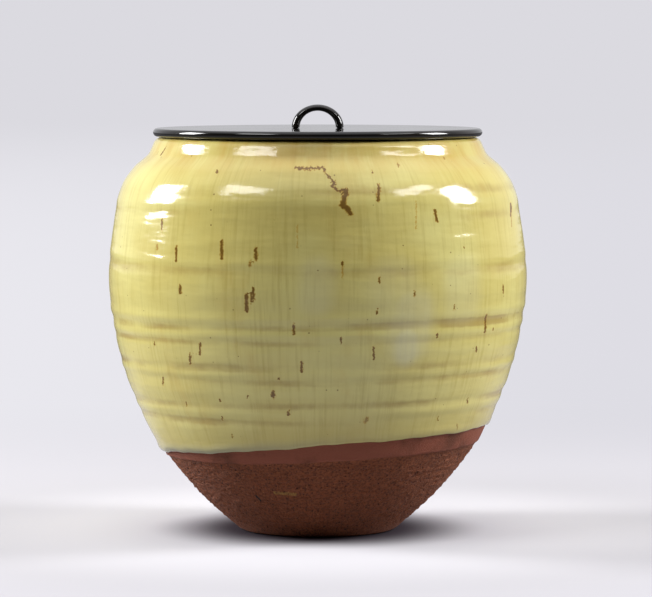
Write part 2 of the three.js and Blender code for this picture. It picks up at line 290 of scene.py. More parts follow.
RINGS = (
    Ring(height=151.5, depth=-0.18, half_width=2.4, tilt=0.9, highest=70),
    Ring(height=146.8, depth=0.22, half_width=2.2, tilt=1.4, highest=30),
    Ring(height=142.0, depth=-0.16, half_width=2.2, tilt=1.0, highest=300),
    Ring(height=131.0, depth=0.14, half_width=4.0, tilt=0.8, highest=40),
    Ring(height=123.2, depth=0.20, half_width=2.0, tilt=1.0, highest=200),
    Ring(height=119.8, depth=-0.36, half_width=2.6, tilt=1.0, highest=200),
    Ring(height=109.0, depth=0.16, half_width=4.0, tilt=0.9, highest=140),
    Ring(height=99.4, depth=0.46, half_width=2.0, tilt=1.3, highest=90),
    Ring(height=95.7, depth=-0.48, half_width=2.0, tilt=1.3, highest=90),
    Ring(height=91.9, depth=0.34, half_width=1.6, tilt=1.0, highest=80),
    Ring(height=89.0, depth=-0.32, half_width=1.5, tilt=1.0, highest=80),
    Ring(height=84.0, depth=0.20, half_width=2.4, tilt=0.7, highest=60),
    Ring(height=78.3, depth=-0.36, half_width=1.9, tilt=1.0, highest=100),
    Ring(height=75.1, depth=0.28, half_width=1.5, tilt=1.0, highest=100),
    Ring(height=72.1, depth=-0.34, half_width=1.6, tilt=0.9, highest=60),
    Ring(height=66.5, depth=0.26, half_width=2.4, tilt=0.8, highest=30),
    Ring(height=61.4, depth=-0.36, half_width=1.8, tilt=1.1, highest=70),
    Ring(height=58.0, depth=0.26, half_width=1.6, tilt=1.0, highest=70),
    Ring(height=54.7, depth=-0.34, half_width=1.6, tilt=1.2, highest=80),
)


def ring_relief(bearing: np.ndarray, z: np.ndarray) -> np.ndarray:
    """Height of the throwing rings: a bell curve for each, whose level tilts round the jar.

    Args:
        bearing: bearings in radians.
        z: heights in mm, of the same shape.

    Returns:
        The relief in mm.
    """
    relief = np.zeros_like(z)
    for number, ring in enumerate(RINGS):
        level = ring.height + ring.tilt * np.cos(bearing - math.radians(ring.highest))
        level = level + 0.35 * np.sin(3 * bearing + 1.7 * number)
        swell = 1 + 0.35 * np.sin(2 * bearing + 2.3 * number) + 0.2 * np.sin(7 * bearing + number)
        relief += ring.depth * swell * np.exp(-(((z - level) / ring.half_width) ** 2))
    return relief


def bearings(columns: int) -> np.ndarray:
    """Bearings of the columns of a turned surface, as one row."""
    return (np.arange(columns) * 2 * math.pi / columns)[None, :]


def add_piece(name: str, points: np.ndarray, faces: list[list[int]]) -> bpy.types.Object:
    """A smooth mesh object from points in mm.

    Args:
        name: the object's name.
        points: one row for each vertex.
        faces: vertex indices of each face.

    Returns:
        The object, linked to the scene.
    """
    mesh = bpy.data.meshes.new(name)
    mesh.from_pydata((points * MM).tolist(), [], faces)
    mesh.polygons.foreach_set("use_smooth", np.ones(len(mesh.polygons), bool))
    mesh.update()
    piece = bpy.data.objects.new(name, mesh)
    bpy.context.scene.collection.objects.link(piece)
    return piece


def turned(name: str, radius: np.ndarray, z: np.ndarray, poles: bool) -> bpy.types.Object:
    """A surface of revolution whose profile may change with the bearing.

    Point (i, j) lies at bearing b of column j: x = r sin b, y = -r cos b. With poles the
    first and last rows are closed by fans to the axis, otherwise the rows close on themselves.

    Args:
        name: the object's name.
        radius, z: rows by columns, in mm.
        poles: whether the surface starts and ends on the axis.

    Returns:
        The object.
    """
    rows, columns = radius.shape
    bearing = bearings(columns)
    points = np.stack([radius * np.sin(bearing), -radius * np.cos(bearing), z], -1).reshape(-1, 3)
    spans = rows - 1 if poles else rows
    i, j = np.meshgrid(np.arange(spans), np.arange(columns), indexing="ij")
    here = i * columns + j
    side = i * columns + (j + 1) % columns
    above = (i + 1) % rows * columns + j
    corner = (i + 1) % rows * columns + (j + 1) % columns
    faces = np.stack([here, side, corner, above], -1).reshape(-1, 4).tolist()
    if poles:
        start = len(points)
        ends = np.array([[0, 0, z[0].mean()], [0, 0, z[-1].mean()]])
        points = np.concatenate([points, ends])
        ring = np.arange(columns)
        after = (ring + 1) % columns
        last = (rows - 1) * columns
        faces += np.stack([np.full(columns, start), after, ring], -1).tolist()
        faces += np.stack([np.full(columns, start + 1), last + ring, last + after], -1).tolist()
    return add_piece(name, points, faces)


def paint_vectors(piece: bpy.types.Object, name: str, values: np.ndarray) -> None:
    """Stores one vector for each of the first vertices, and a far one for the rest.

    Args:
        piece: the object whose mesh holds the vectors.
        name: the attribute's name.
        values: the vectors, in the order of the vertices.
    """
    flat = np.full((len(piece.data.vertices), 3), FAR_AWAY, np.float32)
    flat[:values[..., 0].size] = values.reshape(-1, 3)
    attribute = piece.data.attributes.new(name, "FLOAT_VECTOR", "POINT")
    attribute.data.foreach_set("vector", flat.reshape(-1))


def paint(piece: bpy.types.Object, name: str, values: np.ndarray) -> None:
    """Stores one number for each vertex, padding the poles with the last value.

    Args:
        piece: the object whose mesh holds the numbers.
        name: the attribute's name.
        values: the numbers, in the order of the vertices.
    """
    flat = values.reshape(-1)
    count = len(piece.data.vertices)
    padded = np.concatenate([flat, np.full(count - len(flat), flat[-1])])
    attribute = piece.data.attributes.new(name, "FLOAT", "POINT")
    attribute.data.foreach_set("value", padded.astype(np.float32))


def spread(profile: np.ndarray, columns: int) -> np.ndarray:
    """A profile repeated in every column."""
    return np.repeat(profile[:, None], columns, 1)


class NodeBuilder:
    """Short names for the shader nodes of one tree."""

    def __init__(self, tree: bpy.types.NodeTree) -> None:
        """Keeps the tree that the nodes are added to."""
        self.tree = tree

    def put(self, socket: Socket, value: object) -> None:
        """Links a socket to another, or sets its value.

        Args:
            socket: the input.
            value: an output to link, or a plain value.
        """
        if isinstance(value, bpy.types.NodeSocket):
            self.tree.links.new(value, socket)
        else:
            socket.default_value = value

    def node(self, kind: str, **settings: object) -> bpy.types.Node:
        """A new node with its settings.

        Args:
            kind: the node's type, without its first word.
            settings: the node's properties.

        Returns:
            The node.
        """
        node = self.tree.nodes.new("ShaderNode" + kind)
        for key, value in settings.items():
            setattr(node, key, value)
        return node

    def maths(self, operation: str, a: object, b: object = 0.0, clamp: bool = False) -> Socket:
        """One sum on two numbers.

        Args:
            operation: the sum.
            a, b: its numbers, or outputs that hold them.
            clamp: whether the result stays between 0 and 1.

        Returns:
            The result.
        """
        node = self.node("Math", operation=operation, use_clamp=clamp)
        self.put(node.inputs[0], a)
        self.put(node.inputs[1], b)
        return node.outputs[0]

    def vector(self, operation: str, a: object, b: object = (0.0, 0.0, 0.0)) -> bpy.types.Node:
        """One sum on two vectors.

        Args:
            operation: the sum.
            a, b: its vectors, or outputs that hold them.

        Returns:
            The node, whose output the caller picks.
        """
        node = self.node("VectorMath", operation=operation)
        self.put(node.inputs[0], a)
        self.put(node.inputs[1], b)
        return node

    def position(self) -> Socket:
        """The place on the object."""
        return self.node("TexCoord").outputs["Object"]

    def parts(self, vector: Socket) -> tuple[Socket, Socket, Socket]:
        """The x, y and z of a vector.

        Args:
            vector: an output that holds a vector.

        Returns:
            Its three parts.
        """
        node = self.node("SeparateXYZ")
        self.put(node.inputs[0], vector)
        return tuple(node.outputs)

    def joined(self, *parts: Socket) -> Socket:
        """A vector made of its parts.

        Args:
            parts: x and y, and z where it isn't 0.

        Returns:
            The vector.
        """
        node = self.node("CombineXYZ")
        for socket, part in zip(node.inputs, parts):
            self.put(socket, part)
        return node.outputs[0]

    def scaled(self, vector: Socket, factors: Place) -> Socket:
        """A vector with each part multiplied."""
        return self.vector("MULTIPLY", vector, factors).outputs["Vector"]

    def mix(self, factor: object, a: object, b: object) -> Socket:
        """Colour a changed towards b.

        Args:
            factor: how far, from 0 to 1.
            a, b: the colours.

        Returns:
            The mixed colour.
        """
        node = self.node("Mix", data_type="RGBA")
        self.put(node.inputs[0], factor)
        self.put(node.inputs[6], a)
        self.put(node.inputs[7], b)
        return node.outputs[2]

    def tint(self, colour: object, other: object, mask: Socket, share: float) -> Socket:
        """Colour changed towards another where a mask is.

        Args:
            colour, other: the colours.
            mask: where, from 0 to 1.
            share: how far it changes where the mask is full.

        Returns:
            The changed colour.
        """
        return self.mix(self.maths("MULTIPLY", mask, share), colour, other)

    def smooth(self, value: object, low: float, high: float) -> Socket:
        """A soft step from 0 at low to 1 at high.

        Args:
            value: the number that the step follows.
            low, high: the step's ends; low may be the larger.

        Returns:
            The step's height.
        """
        node = self.node("MapRange", interpolation_type="SMOOTHSTEP")
        self.put(node.inputs[0], value)
        if low < high:
            ends = (low, high, 0.0, 1.0)
        else:
            ends = (high, low, 1.0, 0.0)
        for index, end in enumerate(ends):
            node.inputs[index + 1].default_value = end
        return node.outputs[0]

    def noise(self, vector: Socket, scale: float, detail: float = 3.0, rough: float = 0.55) -> Socket:
        """Smooth noise of a vector.

        Args:
            vector: the place.
            scale: how many lumps a metre holds.
            detail, rough: how much finer noise is added, and how strongly.

        Returns:
            The noise, about 0 to 1.
        """
        node = self.node("TexNoise")
        self.put(node.inputs["Vector"], vector)
        node.inputs["Scale"].default_value = scale
        node.inputs["Detail"].default_value = detail
        node.inputs["Roughness"].default_value = rough
        return node.outputs[0]

    def attribute(self, name: str) -> Socket:
        """The number that the piece's mesh holds under a name."""
        return self.node("Attribute", attribute_name=name).outputs["Fac"]

    def group(self, tree: bpy.types.NodeTree, **values: object) -> bpy.types.Node:
        """A placed node group.

        Args:
            tree: the group.
            values: its inputs, whose names have underscores for spaces.

        Returns:
            The node.
        """
        node = self.node("Group")
        node.node_tree = tree
        for key, value in values.items():
            self.put(node.inputs[key.replace("_", " ")], value)
        return node

    def bump(self, height: Socket, distance: float, normal: Socket | None = None) -> Socket:
        """A bumped normal.

        Args:
            height: the relief, from 0 to 1.
            distance: the relief's height in metres.
            normal: the normal that is bumped, if not the surface's own.

        Returns:
            The normal.
        """
        node = self.node("Bump")
        node.inputs["Distance"].default_value = distance
        self.put(node.inputs["Height"], height)
        if normal is not None:
            self.put(node.inputs["Normal"], normal)
        return node.outputs["Normal"]


class Port(Enum):
    """Kinds of socket on a node group."""

    NUMBER = "NodeSocketFloat"
    VECTOR = "NodeSocketVector"


def new_group(name: str, inputs: dict[str, Port], outputs: dict[str, Port]) -> NodeBuilder:
    """An empty shader node group with named sockets.

    Args:
        name: the group's name.
        inputs, outputs: the sockets' names and kinds.

    Returns:
        The group's nodes, still empty.
    """
    tree = bpy.data.node_groups.new(name, "ShaderNodeTree")
    for key, port in inputs.items():
        tree.interface.new_socket(key, in_out="INPUT", socket_type=port.value)
    for key, port in outputs.items():
        tree.interface.new_socket(key, in_out="OUTPUT", socket_type=port.value)
    return NodeBuilder(tree)


def at_one_radius(make: NodeBuilder, position: Socket) -> Socket:
    """A place on the wall brought to one radius: x and y times that over their own, and z.

    Args:
        make: the material's nodes.
        position: the place on the object.

    Returns:
        The moved place.
    """
    x, y, z = make.parts(position)
    square = make.maths("ADD", make.maths("MULTIPLY", x, x), make.maths("MULTIPLY", y, y))
    scale = make.maths("DIVIDE", SHEET_RADIUS, make.maths("ADD", make.maths("SQRT", square), 1e-6))
    return make.joined(make.maths("MULTIPLY", x, scale), make.maths("MULTIPLY", y, scale), z)


def unrolled(make: NodeBuilder, position: Socket) -> Socket:
    """A place on the wall laid flat: arc length from the front, and z.

    The arc length is the bearing times the sheet's radius.

    Args:
        make: the material's nodes.
        position: the place on the object.

    Returns:
        The place on the sheet.
    """
    x, y, z = make.parts(position)
    bearing = make.maths("ARCTAN2", x, make.maths("MULTIPLY", y, -1.0))
    return make.joined(make.maths("MULTIPLY", bearing, SHEET_RADIUS), z)


class WallNodes(NodeBuilder):
    """The nodes of a new material, which follow the wall of the jar."""

    def __init__(self, name: str) -> None:
        """Makes the material, with only its surface shader, and the coordinates.

        Args:
            name: the material's name.
        """
        self.material = bpy.data.materials.new(name)
        self.material.use_nodes = True
        super().__init__(self.material.node_tree)
        self.shader = self.tree.nodes["Principled BSDF"]
        self.place = self.position()

    @cached_property
    def around(self) -> Socket:
        """The wall's coordinates at one radius."""
        return at_one_radius(self, self.place)

    @cached_property
    def sheet(self) -> Socket:
        """The unrolled wall's coordinates."""
        return unrolled(self, self.place)


def mark_group() -> bpy.types.NodeTree:
    """Mask of a soft stroke: 1 on the line from Start to End, 0 at Half Width from it.

    Returns:
        The group.
    """
    ports = {"Sheet": Port.VECTOR, "Start": Port.VECTOR, "End": Port.VECTOR}
    ports |= {"Half Width": Port.NUMBER, "Strength": Port.NUMBER}
    make = new_group("mark", ports, {"Mask": Port.NUMBER})
    start = make.tree.nodes.new("NodeGroupInput")
    run = make.vector("SUBTRACT", start.outputs["End"], start.outputs["Start"]).outputs["Vector"]
    reach = make.vector("SUBTRACT", start.outputs["Sheet"], start.outputs["Start"]).outputs["Vector"]
    length = make.vector("DOT_PRODUCT", run, run).outputs["Value"]
    overlap = make.vector("DOT_PRODUCT", reach, run).outputs["Value"]
    part = make.maths("DIVIDE", overlap, length, clamp=True)
    along = make.node("VectorMath", operation="SCALE")
    make.put(along.inputs[0], run)
    make.put(along.inputs["Scale"], part)
    away = make.vector("DISTANCE", reach, along.outputs["Vector"]).outputs["Value"]
    ratio = make.maths("DIVIDE", away, start.outputs["Half Width"])
    soft = make.smooth(ratio, 1.0, 0.35)
    end = make.tree.nodes.new("NodeGroupOutput")
    make.put(end.inputs["Mask"], make.maths("MULTIPLY", soft, start.outputs["Strength"]))
    return make.tree


def speckle_group() -> bpy.types.NodeTree:
    """Mask of scattered round specks: near a cell's centre, in the cells that chance picks.

    Returns:
        The group.
    """
    ports = {"Position": Port.VECTOR} | {name: Port.NUMBER for name in ("Spacing", "Size", "Share")}
    make = new_group("speckle", ports, {"Mask": Port.NUMBER})
    start = make.tree.nodes.new("NodeGroupInput")
    node = make.node("TexVoronoi")
    make.put(node.inputs["Vector"], start.outputs["Position"])
    make.put(node.inputs["Scale"], make.maths("DIVIDE", 1.0, start.outputs["Spacing"]))
    colour = make.node("SeparateColor")
    make.put(colour.inputs[0], node.outputs["Color"])
    chosen = make.maths("LESS_THAN", colour.outputs[0], start.outputs["Share"])
    size = make.maths("MULTIPLY", start.outputs["Size"], make.maths("ADD", colour.outputs[1], 0.35))
    near = make.smooth(make.maths("DIVIDE", node.outputs["Distance"], size), 1.0, 0.5)
    end = make.tree.nodes.new("NodeGroupOutput")
    make.put(end.inputs["Mask"], make.maths("MULTIPLY", near, chosen))
    return make.tree


class Shared:
    """The node groups that several finishes use, made once."""

    def __init__(self) -> None:
        """Builds the groups."""
        self.mark = mark_group()
        self.speckle = speckle_group()


@dataclass(frozen=True)
class PhotoMark:
    """A stroke seen in the photograph, from (x + lean, top) to (x, bottom) in pixels.

    Its half width is in mm.
    """

    x: float
    top: float
    bottom: float
    lean: float = 0.0
    half_width: float = 0.75
    strength: float = 0.9


IRON_MARKS = (
    PhotoMark(x=163.5, top=149, bottom=155, lean=4),
    PhotoMark(x=163.8, top=220, bottom=229),
    PhotoMark(x=178, top=247, bottom=261),
    PhotoMark(x=223, top=242, bottom=258, half_width=0.9),
    PhotoMark(x=257, top=250, bottom=259, half_width=0.85),
    PhotoMark(x=251, top=264, bottom=266, strength=0.7),
    PhotoMark(x=254.5, top=287, bottom=301),
    PhotoMark(x=247.7, top=295, bottom=310, half_width=0.95),
    PhotoMark(x=182, top=287, bottom=292, half_width=0.95),
    PhotoMark(x=294.4, top=325, bottom=333),
    PhotoMark(x=159, top=245, bottom=249, strength=0.6),
    PhotoMark(x=218.6, top=172, bottom=174, half_width=0.6),
    PhotoMark(x=298, top=226, bottom=248, half_width=0.5, strength=0.35),
    PhotoMark(x=377.4, top=187, bottom=201, lean=1, half_width=0.95),
    PhotoMark(x=415, top=203, bottom=228, half_width=0.5, strength=0.4),
    PhotoMark(x=436, top=211, bottom=221, lean=-2.5, half_width=0.9),
    PhotoMark(x=509, top=206, bottom=215, half_width=1.6),
    PhotoMark(x=509.5, top=214, bottom=226, half_width=0.7, strength=0.6),
    PhotoMark(x=398, top=166, bottom=168, strength=0.7),
    PhotoMark(x=443, top=159, bottom=160, strength=0.7),
    PhotoMark(x=372, top=172, bottom=174, half_width=0.6),
    PhotoMark(x=342.6, top=263, bottom=266),
    PhotoMark(x=342.8, top=266, bottom=278, half_width=0.45, strength=0.5),
    PhotoMark(x=379, top=278, bottom=282, half_width=0.6),
    PhotoMark(x=413.6, top=292, bottom=296, half_width=0.6),
    PhotoMark(x=501, top=286, bottom=292, half_width=0.7),
    PhotoMark(x=483, top=316, bottom=331, lean=1.5, half_width=0.9),
    PhotoMark(x=491, top=328, bottom=329, half_width=0.6),
    PhotoMark(x=453, top=306, bottom=309, half_width=0.6),
    PhotoMark(x=376.6, top=309, bottom=313, half_width=0.6),
    PhotoMark(x=462.6, top=246, bottom=248, half_width=0.5),
    PhotoMark(x=201.7, top=343, bottom=353),
    PhotoMark(x=191.8, top=354, bottom=363),
    PhotoMark(x=165, top=377, bottom=383),
    PhotoMark(x=156.6, top=342, bottom=344, half_width=0.6),
    PhotoMark(x=302, top=362, bottom=371),
    PhotoMark(x=279.8, top=377, bottom=379, half_width=0.6),
    PhotoMark(x=274, top=392.5, bottom=394.5, half_width=1.25, strength=1.0),
    PhotoMark(x=289.4, top=410, bottom=413, half_width=0.7),
    PhotoMark(x=223.5, top=415, bottom=418, half_width=0.6),
    PhotoMark(x=188, top=402, bottom=403.5, half_width=0.6),
    PhotoMark(x=221.6, top=399, bottom=400, half_width=0.6),
    PhotoMark(x=233.4, top=434, bottom=436, half_width=0.6),
    PhotoMark(x=249, top=394, bottom=396, half_width=0.5),
    PhotoMark(x=373.5, top=346, bottom=359, half_width=0.6),
    PhotoMark(x=341, top=338, bottom=342, half_width=0.6),
    PhotoMark(x=436, top=333, bottom=337, half_width=0.55),
    PhotoMark(x=474.5, top=347, bottom=351, half_width=0.6),
    PhotoMark(x=365, top=418, bottom=420, lean=1.5, half_width=1.1, strength=0.7),
    PhotoMark(x=437, top=417, bottom=419, half_width=0.6),
    PhotoMark(x=466.4, top=399, bottom=402, half_width=0.6),
    PhotoMark(x=455.4, top=424, bottom=426.5, half_width=0.6),
)


@dataclass(frozen=True)
class PhotoPoint:
    """A point of a line seen in the photograph, in pixels, and its half width in mm."""

    x: float
    y: float
    half_width: float = 0.65


CRAWL_LINE = (
    PhotoPoint(x=296, y=170),
    PhotoPoint(x=310, y=170.5),
    PhotoPoint(x=324, y=169),
    PhotoPoint(x=326, y=175),
    PhotoPoint(x=335, y=183.5),
    PhotoPoint(x=331, y=187),
    PhotoPoint(x=340, y=192),
    PhotoPoint(x=347, y=190.4, half_width=1.35),
    PhotoPoint(x=344.4, y=197, half_width=1.35),
    PhotoPoint(x=342, y=206, half_width=1.35),
    PhotoPoint(x=347.5, y=209.5, half_width=1.35),
    PhotoPoint(x=350, y=213.4, half_width=1.35),
)

MILKY_MARKS = (
    PhotoMark(x=406, top=342, bottom=349, half_width=6.0, strength=0.5),
    PhotoMark(x=408, top=312, bottom=338, lean=4, half_width=9, strength=0.3),
    PhotoMark(x=400, top=284, bottom=306, lean=-6, half_width=10, strength=0.16),
    PhotoMark(x=317, top=274, bottom=299, lean=2, half_width=6.5, strength=0.2),
    PhotoMark(x=462, top=280, bottom=302, half_width=9, strength=0.16),
)


@dataclass(frozen=True)
class Stroke:
    """A stroke on the unrolled wall, in mm."""

    start: tuple[float, float]
    end: tuple[float, float]
    half_width: float
    strength: float

    def offset(self, across: np.ndarray, z: np.ndarray) -> tuple[np.ndarray, np.ndarray]:
        """Offsets of points from the nearest place on the stroke.

        Args:
            across: arc lengths from the front.
            z: heights.

        Returns:
            The offsets across and up.
        """
        run_x, run_z = self.end[0] - self.start[0], self.end[1] - self.start[1]
        x, rise = across - self.start[0], z - self.start[1]
        along = np.clip((x * run_x + rise * run_z) / (run_x**2 + run_z**2 + 1e-9), 0, 1)
        return x - along * run_x, rise - along * run_z


class MarkField:
    """The strokes of the photograph, laid on the wall through the camera.

    Bleed widens each stroke, and softness is how steeply a milky patch fades.
    """

    bleed = 1.6
    softness = 1.6

    def __init__(self, form: JarForm, framing: Framing) -> None:
        """Places every stroke on the wall.

        Args:
            form: the jar's wall.
            framing: the camera.
        """
        self.form = form
        self.framing = framing
        self.iron = [self.place(mark) for mark in IRON_MARKS]
        for start, end in zip(CRAWL_LINE, CRAWL_LINE[1:]):
            lean = start.x - end.x
            link = PhotoMark(x=end.x, top=start.y, bottom=end.y, lean=lean, half_width=start.half_width)
            self.iron.append(self.place(link))
        self.milky = [self.place(mark) for mark in MILKY_MARKS]

    def place(self, mark: PhotoMark) -> Stroke:
        """A photographed stroke on the unrolled wall, as wide as it bleeds.

        Args:
            mark: the stroke in the photograph.

        Returns:
            The stroke on the wall.
        """
        start = self.framing.on_jar(self.form, mark.x + mark.lean, mark.top)
        end = self.framing.on_jar(self.form, mark.x, mark.bottom)
        reach = SHEET_RADIUS / MM
        wide = mark.half_width * self.bleed
        return Stroke((start[0] * reach, start[1]), (end[0] * reach, end[1]), wide, mark.strength)

    def nearest(self, across: np.ndarray, z: np.ndarray) -> tuple[np.ndarray, np.ndarray]:
        """The nearest iron stroke of each point.

        Args:
            across: arc lengths from the front, in mm.
            z: heights in mm, of the same shape.

        Returns:
            Its offsets and distance, and its half width and strength.
        """
        offsets = np.zeros(z.shape + (3,))
        sizes = np.zeros(z.shape + (3,))
        offsets[..., 2] = np.inf
        for stroke in self.iron:
            x, rise = stroke.offset(across, z)
            away = np.hypot(x, rise)
            closer = away < offsets[..., 2]
            offsets[closer] = np.stack([x, rise, away], -1)[closer]
            sizes[closer] = (stroke.half_width, stroke.strength, 0)
        return offsets, sizes

    def milk(self, across: np.ndarray, z: np.ndarray) -> np.ndarray:
        """Mask of the milky patches: from full in the middle to nothing at the half width.

        Args:
            across: arc lengths from the front, in mm.
            z: heights in mm, of the same shape.

        Returns:
            The mask.
        """
        mask = np.zeros(z.shape)
        for stroke in self.milky:
            x, rise = stroke.offset(across, z)
            part = np.clip(self.softness * (1 - np.hypot(x, rise) / stroke.half_width), 0, 1)
            mask = np.maximum(mask, stroke.strength * part * part * (3 - 2 * part))
        return mask


@dataclass(frozen=True)
class GlazeFinish:
    """Ochre ash glaze: pale where thick, brown where it breaks, with iron streaks.

    Its lengths are in metres.
    """

    name: str
    shared: Shared
    marked: bool
    ochre: Colour = srgb(200, 186, 108)
    straw: Colour = srgb(210, 201, 128)
    olive: Colour = srgb(172, 154, 78)
    amber: Colour = srgb(184, 144, 56)
    tan: Colour = srgb(152, 124, 64)
    iron: Colour = srgb(92, 60, 18)
    milk: Colour = srgb(206, 206, 176)
    pool: Colour = srgb(150, 148, 118)
    # Dark red-brown of the painted shadow line at the glaze's lower edge.
    painted_edge_shadow: Colour = srgb(92, 52, 36)
    belly_fade: tuple[float, float] = (0.135, 0.085)
    neck_fade: tuple[float, float] = (0.1555, 0.168)
    unseen_from: tuple[float, float] = (0.118, 0.128)
    roughness: float = 0.13
    ior: float = 1.55
    swell_depth: float = 0.0005
    ripple_depth: float = 0.00005

    def strokes(self, make: WallNodes, jitter: Socket) -> Socket:
        """Mask of the strokes that the mesh holds as offsets.

        Args:
            make: the material's nodes.
            jitter: shifts in mm that fray the strokes.

        Returns:
            The mask.
        """
        offset = make.node("Attribute", attribute_name="mark").outputs["Vector"]
        stroke = make.node("Attribute", attribute_name="stroke").outputs["Vector"]
        half_width, strength, _ = make.parts(stroke)
        frayed = make.vector("ADD", offset, jitter).outputs["Vector"]
        flat = make.scaled(frayed, (1.0, 1.0, 0.0))
        uneven = make.maths("ADD", make.maths("MULTIPLY", make.noise(offset, 0.55, 2), 1.5), 0.1)
        reach = make.maths("MULTIPLY", half_width, uneven)
        ratio = make.maths("DIVIDE", make.vector("LENGTH", flat).outputs["Value"], reach)
        close = make.smooth(make.parts(offset)[2], 2.4, 1.6)
        near = make.maths("MULTIPLY", make.smooth(ratio, 1.0, 0.35), close)
        return make.maths("MULTIPLY", near, strength)

    def material(self) -> bpy.types.Material:
        """The glaze's material; the marked one reads the coat's attributes.

        Returns:
            The material.
        """
        make = WallNodes(self.name)
        broad = make.noise(make.scaled(make.around, (1, 1, 0.09)), 170, 3, 0.6)
        colour = self.ground(make, broad)
        if self.marked:
            colour = self.rings(make, colour)
        colour = self.stains(make, colour)
        if self.marked:
            colour = self.streaks(make, broad, colour)
        specks = make.group(self.shared.speckle, Position=make.around, Spacing=0.0038, Size=0.095, Share=0.4)
        colour = make.tint(colour, self.iron, specks.outputs[0], 0.75)
        if self.marked:
            colour = self.edge(make, colour)
        make.put(make.shader.inputs["Base Color"], colour)
        make.shader.inputs["Roughness"].default_value = self.roughness
        make.shader.inputs["IOR"].default_value = self.ior
        swell = make.noise(make.scaled(make.around, (0.35, 0.35, 1.6)), 90, 2, 0.5)
        normal = make.bump(swell, self.swell_depth)
        normal = make.bump(make.noise(make.around, 420, 2, 0.5), self.ripple_depth, normal)
        make.put(make.shader.inputs["Normal"], normal)
        return make.material

    def ground(self, make: WallNodes, broad: Socket) -> Socket:
        """Ochre and straw in clouds and upright runs, paler low on the belly.

        Args:
            make: the material's nodes.
            broad: noise of the broad runs.

        Returns:
            The colour.
        """
        low = make.smooth(make.parts(make.around)[2], *self.belly_fade)
        cloud = make.smooth(make.noise(make.around, 18, 3), 0.4, 0.65)
        colour = make.tint(make.mix(cloud, self.ochre, self.straw), self.straw, low, 0.3)
        fur = make.noise(make.scaled(make.around, (1, 1, 0.055)), 620, 4, 0.6)
        fur_mask = make.smooth(make.maths("MULTIPLY", fur, make.maths("ADD", broad, 0.5)), 0.45, 0.75)
        colour = make.tint(colour, self.olive, fur_mask, 0.38)
        pale = make.smooth(make.noise(make.scaled(make.around, (1, 1, 0.07)), 420, 3, 0.5), 0.56, 0.72)
        return make.tint(colour, self.straw, pale, 0.22)

    def stains(self, make: WallNodes, colour: Socket) -> Socket:
        """Amber mottling at the neck, and stray amber stains over the whole wall.

        Args:
            make: the material's nodes.
            colour: the glaze's colour so far.

        Returns:
            The colour with the stains.
        """
        neck = make.smooth(make.parts(make.around)[2], *self.neck_fade)
        mottle = make.noise(make.scaled(make.around, (1, 1, 0.5)), 75, 4, 0.6)
        brown = make.maths("MULTIPLY", neck, make.smooth(mottle, 0.3, 0.7))
        colour = make.tint(colour, self.amber, brown, 0.55)
        stain = make.smooth(make.noise(make.scaled(make.around, (1, 1, 0.6)), 34, 5, 0.6), 0.52, 0.74)
        return make.tint(colour, self.amber, stain, 0.3)

    def streaks(self, make: WallNodes, broad: Socket, colour: Socket) -> Socket:
        """Milky patches, then iron streaks with an amber halo.

        Args:
            make: the material's nodes.
            broad: noise of the broad runs.
            colour: the glaze's colour so far.

        Returns:
            The colour with the streaks.
        """
        veil = make.maths("ADD", broad, 0.45, clamp=True)
        milky = make.maths("MULTIPLY", make.attribute("milk"), veil)
        colour = make.mix(milky, colour, self.milk)
        front = self.strokes(make, self.jitter(make))
        marks = make.maths("MAXIMUM", front, self.back_streaks(make))
        colour = make.tint(colour, self.amber, make.smooth(marks, 0.0, 0.5), 0.75)
        return make.tint(colour, self.iron, make.smooth(marks, 0.35, 0.95), 0.85)

    def edge(self, make: WallNodes, colour: Socket) -> Socket:
        """Thin olive glaze near the lower edge, pooled on its left, and a dark red-brown painted shadow line
        at the very end.

        The edge attribute is the height above the line in mm.

        Args:
            make: the material's nodes.
            colour: the glaze's colour so far.

        Returns:
            The colour with the edge.
        """
        above = make.attribute("edge")
        leftward = make.vector("DOT_PRODUCT", make.around, (-1.0, -0.2, 0.0)).outputs["Value"]
        left = make.smooth(leftward, -0.01, 0.08)
        colour = make.tint(colour, self.olive, make.smooth(above, 16.0, 0.0), 0.6)
        heavy = make.maths("ADD", make.maths("MULTIPLY", left, 0.7), 0.2)
        pooled = make.maths("MULTIPLY", make.smooth(above, 6.0, 0.8), heavy)
        colour = make.mix(pooled, colour, self.pool)
        # Painted shadow: a dark red-brown line over the last 0.75 mm above the glaze's lower edge.
        return make.mix(make.smooth(above, 0.75, 0.15), colour, self.painted_edge_shadow)

    def rings(self, make: WallNodes, colour: Socket) -> Socket:
        """Glaze pooled darker in the grooves and paler on the crests of the rings.

        Args:
            make: the material's nodes.
            colour: the glaze's colour so far.

        Returns:
            The colour with the rings.
        """
        shaken = make.maths("SUBTRACT", make.noise(make.scaled(make.around, (1, 1, 0.6)), 300, 3), 0.5)
        ring = make.maths("ADD", make.attribute("ring"), make.maths("MULTIPLY", shaken, 0.28))
        broken = make.smooth(make.noise(make.scaled(make.around, (1, 1, 2.5)), 26, 4), 0.36, 0.66)
        groove = make.maths("MULTIPLY", make.smooth(ring, 0.0, -0.36), broken)
        crest = make.maths("MULTIPLY", make.smooth(ring, 0.02, 0.36), broken)
        colour = make.tint(colour, self.tan, groove, 0.62)
        return make.tint(colour, self.straw, crest, 0.6)

    def jitter(self, make: WallNodes) -> Socket:
        """Random shifts that fray the strokes.

        Args:
            make: the material's nodes.

        Returns:
            The shifts in mm.
        """
        node = make.node("TexNoise")
        make.put(node.inputs["Vector"], make.sheet)
        node.inputs["Scale"].default_value = 900
        node.inputs["Detail"].default_value = 2
        middle = make.vector("SUBTRACT", node.outputs["Color"], (0.5, 0.5, 0.5)).outputs["Vector"]
        return make.scaled(middle, (1.7, 2.6, 0.0))

